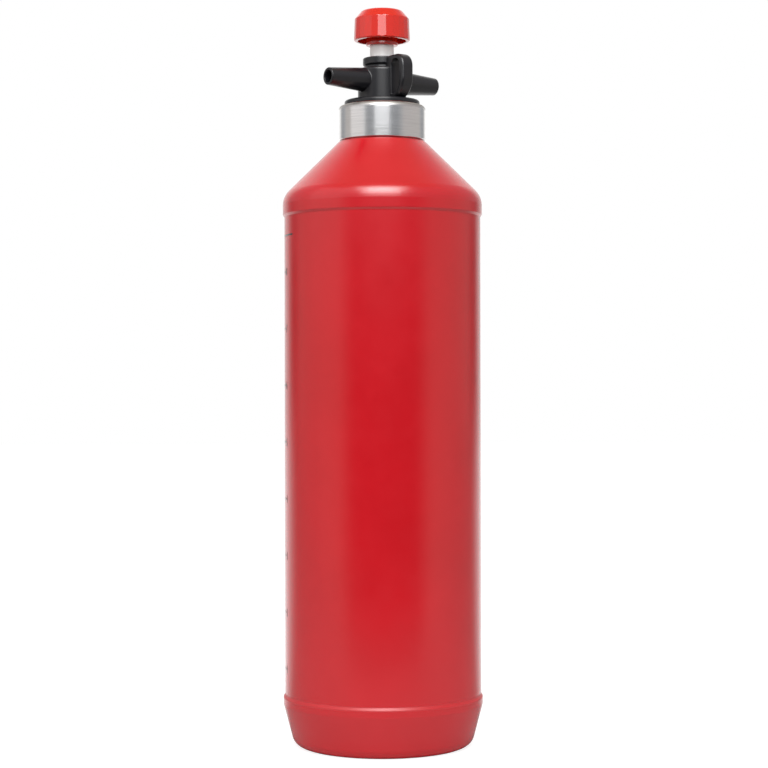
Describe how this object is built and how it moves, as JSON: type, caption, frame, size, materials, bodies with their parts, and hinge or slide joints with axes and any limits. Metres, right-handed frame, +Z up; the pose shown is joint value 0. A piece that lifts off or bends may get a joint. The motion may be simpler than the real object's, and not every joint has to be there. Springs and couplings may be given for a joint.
{
  "type": "camping fuel bottle",
  "caption": "Red fuel bottle with an aluminium neck ring and a screw-in black valve head: twin nozzles, lanyard loop and a sprung push knob that pours.",
  "frame": {"origin": "middle of the base, on the plane that the bottle stands on", "axes": "+Z up the bottle's axis; X along the two nozzles, with the pouring side towards -X; the lanyard loop points to -Y"},
  "size_m": [0.08, 0.08, 0.295],
  "materials": {
    "red_polyethylene": "satin",
    "neck_aluminium": "satin",
    "red_rubber": "matte",
    "black_plastic": "satin",
    "white_plastic": "satin",
    "red_knob": "gloss",
    "black_rubber": "matte",
    "spring_steel": "satin"
  },
  "bodies": {
    "bottle": {"bottle": "red_polyethylene", "neck_ring": "neck_aluminium"},
    "gasket": {"neck_gasket": "red_rubber"},
    "valve_head": {"valve_body": "black_plastic", "gland_bush": "black_plastic", "stem_o_ring": "black_rubber", "spring_washer": "spring_steel", "return_spring": "spring_steel"},
    "plunger": {"valve_seal": "black_rubber", "valve_disc": "white_plastic"},
    "knob": {"knob": "red_knob", "stem": "white_plastic", "seal_screw": "spring_steel"}
  },
  "joints": [
    {"name": "cap_lift", "type": "slide", "parent": "bottle", "child": "gasket", "axis": [0, 0, 1], "range_m": [0, 0.02]},
    {"name": "cap_unscrew", "type": "hinge", "parent": "gasket", "child": "valve_head", "pos_m": [0, 0, 0.257], "axis": [0, 0, 1], "range_deg": [0, 1801]},
    {"name": "button_push", "type": "slide", "parent": "valve_head", "child": "plunger", "axis": [0, 0, -1], "range_m": [0, 0.004], "stiffness_N_per_m": 1000, "springref_m": -0.006, "deforming": ["return_spring"]},
    {"name": "knob_turn", "type": "hinge", "parent": "plunger", "child": "knob", "pos_m": [0, 0, 0.2885], "axis": [0, 0, 1], "range_deg": [-180, 0]}
  ],
  "couplings": [
    {"joint": "cap_unscrew", "follows": "cap_lift", "rad_per_m": 1570.8}
  ]
}
